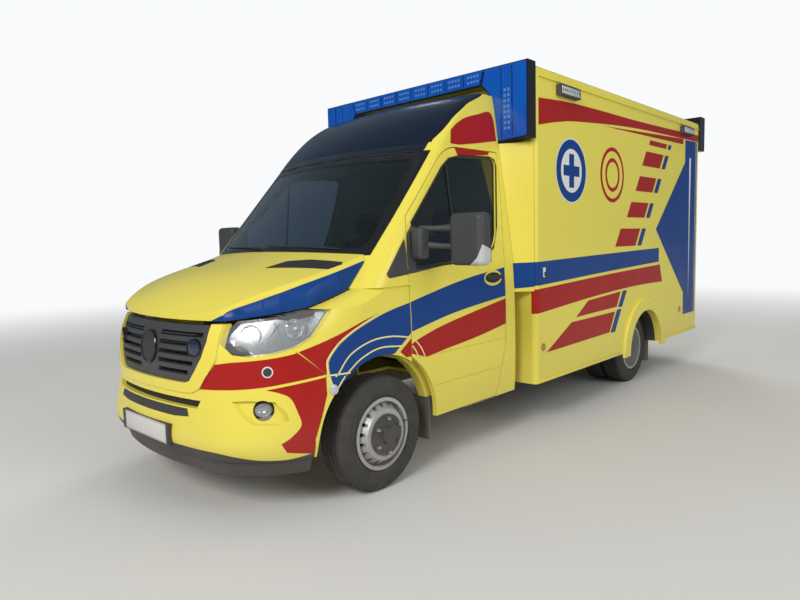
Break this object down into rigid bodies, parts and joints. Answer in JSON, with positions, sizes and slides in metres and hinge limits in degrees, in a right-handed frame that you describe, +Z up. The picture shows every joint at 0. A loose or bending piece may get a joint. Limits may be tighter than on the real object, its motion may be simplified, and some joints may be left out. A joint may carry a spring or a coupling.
{
  "type": "box body ambulance",
  "caption": "Light-truck ambulance with a short-nosed cab, a tall patient box, blue lamp frames, opening doors, steered front wheels and twin rear wheels.",
  "frame": {"origin": "centre of the base of the whole vehicle, on the ground", "axes": "+Z up, the front faces -Y, the vehicle's left side is +X"},
  "size_m": [2.87, 6.456, 2.86],
  "materials": {
    "yellow_paint": "gloss",
    "box_panel": "gloss",
    "chassis_black": "satin",
    "cast": "rough",
    "alloy": "satin",
    "steel_wheel": "satin",
    "hub_grey": "satin",
    "tyre": "matt",
    "black_plastic": "textured",
    "glass": "clear",
    "lamp_glass": "clear",
    "blue_lens": "clear",
    "red_lens": "gloss",
    "seat_cloth": "woven",
    "trim": "grained",
    "exhaust_steel": "dull"
  },
  "bodies": {
    "vehicle": {"arch_flares": "box_panel", "blue_lenses": "blue_lens", "box_floor": "trim", "box_front_wall": "box_panel", "box_roof": "box_panel", "box_side_left": "box_panel", "box_side_right": "box_panel", "bumper_lip": "black_plastic", "cab_seats": "seat_cloth", "cab_shell": "yellow_paint", "chassis_frame": "chassis_black", "cross_members": "chassis_black", "dashboard": "trim", "engine_block": "cast", "exhaust": "exhaust_steel", "front_bumper": "yellow_paint", "front_lamps": "lamp_glass", "front_suspension": "chassis_black", "front_wings": "yellow_paint", "fuel_tank": "trim", "gap_panels": "box_panel", "gearbox": "cast", "grille": "black_plastic", "lamp_frames": "black_plastic", "leaf_springs": "chassis_black", "mud_flaps": "black_plastic", "rear_axle": "chassis_black", "rear_frame": "box_panel", "rear_lamps": "red_lens", "rear_step": "alloy", "roof_fairing": "yellow_paint", "scene_lamps": "black_plastic", "wheel_liners": "black_plastic", "windscreen": "glass"},
    "knuckle_left": {"knuckle_left": "cast"},
    "knuckle_right": {"knuckle_right": "cast"},
    "front_wheel_left": {"front_rim_left": "steel_wheel", "front_hub_left": "hub_grey", "front_tyre_left": "tyre"},
    "front_wheel_right": {"front_rim_right": "steel_wheel", "front_hub_right": "hub_grey", "front_tyre_right": "tyre"},
    "rear_wheels_left": {"rear_rims_left": "steel_wheel", "rear_tyres_left": "tyre"},
    "rear_wheels_right": {"rear_rims_right": "steel_wheel", "rear_tyres_right": "tyre"},
    "bonnet": {"bonnet": "yellow_paint"},
    "cab_door_left": {"cab_door_left": "yellow_paint", "door_glass_left": "glass", "mirror_left": "black_plastic"},
    "cab_door_right": {"cab_door_right": "yellow_paint", "door_glass_right": "glass", "mirror_right": "black_plastic"},
    "rear_door_left": {"rear_door_left": "box_panel", "rear_glass_left": "glass"},
    "rear_door_right": {"rear_door_right": "box_panel", "rear_glass_right": "glass"},
    "side_door": {"side_door": "box_panel", "side_glass": "glass"},
    "steering_wheel": {"steering_wheel": "trim"}
  },
  "joints": [
    {"name": "steer_left", "type": "hinge", "parent": "vehicle", "child": "knuckle_left", "pos_m": [0.73, -2.212, 0.352], "axis": [0, 0, 1], "range_deg": [-38, 38]},
    {"name": "steer_right", "type": "hinge", "parent": "vehicle", "child": "knuckle_right", "pos_m": [-0.73, -2.212, 0.352], "axis": [0, 0, 1], "range_deg": [-38, 38]},
    {"name": "steering_wheel_turn", "type": "hinge", "parent": "vehicle", "child": "steering_wheel", "pos_m": [0.44, -1.652, 1.33], "axis": [0, 0.848, 0.5299], "range_deg": [-540, 540]},
    {"name": "front_wheel_left_spin", "type": "hinge", "parent": "knuckle_left", "child": "front_wheel_left", "pos_m": [0.875, -2.212, 0.352], "axis": [1, 0, 0], "continuous": true},
    {"name": "front_wheel_right_spin", "type": "hinge", "parent": "knuckle_right", "child": "front_wheel_right", "pos_m": [-0.875, -2.212, 0.352], "axis": [1, 0, 0], "continuous": true},
    {"name": "rear_wheels_left_spin", "type": "hinge", "parent": "vehicle", "child": "rear_wheels_left", "pos_m": [0.7695, 1.453, 0.352], "axis": [1, 0, 0], "continuous": true},
    {"name": "rear_wheels_right_spin", "type": "hinge", "parent": "vehicle", "child": "rear_wheels_right", "pos_m": [-0.7695, 1.453, 0.352], "axis": [1, 0, 0], "continuous": true},
    {"name": "bonnet_hinge", "type": "hinge", "parent": "vehicle", "child": "bonnet", "pos_m": [0, -2.162, 1.425], "axis": [-1, 0, 0], "range_deg": [0, 50]},
    {"name": "cab_door_left_hinge", "type": "hinge", "parent": "vehicle", "child": "cab_door_left", "pos_m": [1, -1.95, 1.2], "axis": [0, 0, -1], "range_deg": [0, 70]},
    {"name": "cab_door_right_hinge", "type": "hinge", "parent": "vehicle", "child": "cab_door_right", "pos_m": [-1, -1.95, 1.2], "axis": [0, 0, 1], "range_deg": [0, 70]},
    {"name": "rear_door_left_hinge", "type": "hinge", "parent": "vehicle", "child": "rear_door_left", "pos_m": [0.694, 3.035, 1.5], "axis": [0, 0, -1], "range_deg": [0, 170]},
    {"name": "rear_door_right_hinge", "type": "hinge", "parent": "vehicle", "child": "rear_door_right", "pos_m": [-0.694, 3.035, 1.5], "axis": [0, 0, 1], "range_deg": [0, 170]},
    {"name": "side_door_hinge", "type": "hinge", "parent": "vehicle", "child": "side_door", "pos_m": [-1.117, -0.479, 1.4], "axis": [0, 0, 1], "range_deg": [0, 90]}
  ],
  "couplings": [
    {"joint": "steer_right", "follows": "steer_left", "ratio": 1},
    {"joint": "steering_wheel_turn", "follows": "steer_left", "ratio": 14}
  ]
}
